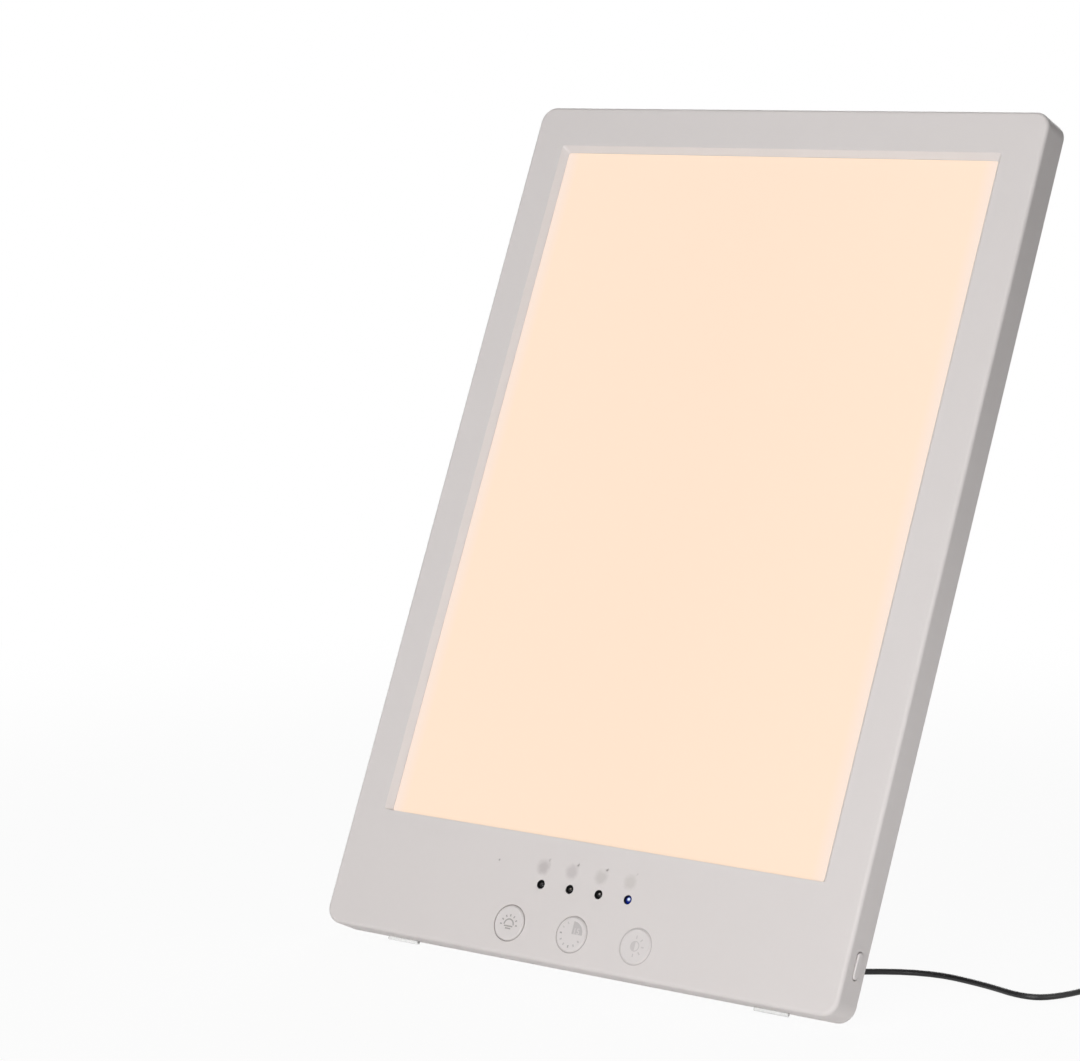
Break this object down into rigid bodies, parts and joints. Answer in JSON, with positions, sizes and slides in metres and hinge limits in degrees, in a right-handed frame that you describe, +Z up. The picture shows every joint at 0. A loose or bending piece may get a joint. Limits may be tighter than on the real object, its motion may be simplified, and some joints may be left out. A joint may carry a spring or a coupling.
{
  "type": "light therapy lamp",
  "caption": "Slim edge-lit light therapy panel that leans back on a fold-out rear leg, with front buttons, a side power button and a low-voltage lead with its wall adapter.",
  "frame": {"origin": "on the table, under the centre of the lamp's own bounding box in plan, without the lead, plug and adapter", "axes": "+X to the viewer's right along the panel, -Y towards the viewer on the lit side, +Z up"},
  "size_m": [0.2936, 0.2333, 0.2972],
  "materials": {
    "warm_white_plastic": "satin moulded, faint texture",
    "diffuser_acrylic": "opal acrylic, matt, lit from its edges",
    "clear_acrylic": "polished clear acrylic with printed dots",
    "white_film": "matt white film",
    "led_board": "white solder mask",
    "led_phosphor": "phosphor gel",
    "green_board": "solder mask",
    "black_plastic": "satin",
    "grey_plastic": "satin",
    "smoked_lens": "polished, unlit",
    "blue_lens": "polished, lit",
    "capacitor_can": "brushed can",
    "flat_flex": "satin",
    "steel": "zinc plated",
    "plated_brass": "nickel plated",
    "rubber": "matt",
    "clear_rubber": "clear silicone, a little clouded",
    "cord_jacket": "satin PVC"
  },
  "bodies": {
    "lamp": {"front_frame": "warm_white_plastic", "back_cover": "warm_white_plastic", "diffuser_plate": "diffuser_acrylic", "light_guide": "clear_acrylic", "reflector_sheet": "white_film", "led_strip_left": "led_board", "led_strip_right": "led_board", "led_chips_left": "led_phosphor", "led_chips_right": "led_phosphor", "control_board": "green_board", "driver_board": "green_board", "temperature_switch": "black_plastic", "timer_switch": "black_plastic", "brightness_switch": "black_plastic", "power_switch": "black_plastic", "dc_jack": "black_plastic", "indicator_shroud": "black_plastic", "control_chips": "black_plastic", "driver_chip": "black_plastic", "driver_inductor": "black_plastic", "plug_body": "black_plastic", "adapter_base": "black_plastic", "adapter_lid": "black_plastic", "hinge_washer_left": "grey_plastic", "hinge_washer_right": "grey_plastic", "indicator_led_1": "smoked_lens", "indicator_led_2": "smoked_lens", "indicator_led_3": "smoked_lens", "indicator_led_4": "blue_lens", "driver_capacitors": "capacitor_can", "board_flex": "flat_flex", "strip_flex_left": "flat_flex", "strip_flex_right": "flat_flex", "jack_wires": "flat_flex", "hinge_pin_left": "steel", "hinge_pin_right": "steel", "case_screws": "steel", "control_screws": "steel", "driver_screws": "steel", "plug_barrel": "plated_brass", "jack_pin": "plated_brass", "adapter_blades": "plated_brass", "base_pad_left": "clear_rubber", "base_pad_right": "clear_rubber", "plug_relief": "cord_jacket", "adapter_relief": "cord_jacket", "lead_run_plug": "cord_jacket", "lead_run_adapter": "cord_jacket", "lead_coil": "cord_jacket", "lead_tie": "cord_jacket"},
    "stand": {"stand_leg": "warm_white_plastic", "stand_foot": "rubber"},
    "temperature_key": {"temperature_button": "warm_white_plastic", "temperature_plunger": "grey_plastic"},
    "timer_key": {"timer_button": "warm_white_plastic", "timer_plunger": "grey_plastic"},
    "brightness_key": {"brightness_button": "warm_white_plastic", "brightness_plunger": "grey_plastic"},
    "power_key": {"power_button": "warm_white_plastic", "power_plunger": "grey_plastic"}
  },
  "joints": [
    {"name": "stand_hinge", "type": "hinge", "parent": "lamp", "child": "stand", "pos_m": [0, 0.01682, 0.17426], "axis": [1, 0, 0], "range_deg": [-35, 0]},
    {"name": "temperature_press", "type": "slide", "parent": "lamp", "child": "temperature_key", "axis": [0, 0.9135, -0.4067], "range_m": [0, 0.0005], "stiffness_N_per_m": 800, "springref_m": -0.001},
    {"name": "timer_press", "type": "slide", "parent": "lamp", "child": "timer_key", "axis": [0, 0.9135, -0.4067], "range_m": [0, 0.0005], "stiffness_N_per_m": 800, "springref_m": -0.001},
    {"name": "brightness_press", "type": "slide", "parent": "lamp", "child": "brightness_key", "axis": [0, 0.9135, -0.4067], "range_m": [0, 0.0005], "stiffness_N_per_m": 800, "springref_m": -0.001},
    {"name": "power_press", "type": "slide", "parent": "lamp", "child": "power_key", "axis": [-1, 0, 0], "range_m": [0, 0.0005], "stiffness_N_per_m": 800, "springref_m": -0.001}
  ]
}
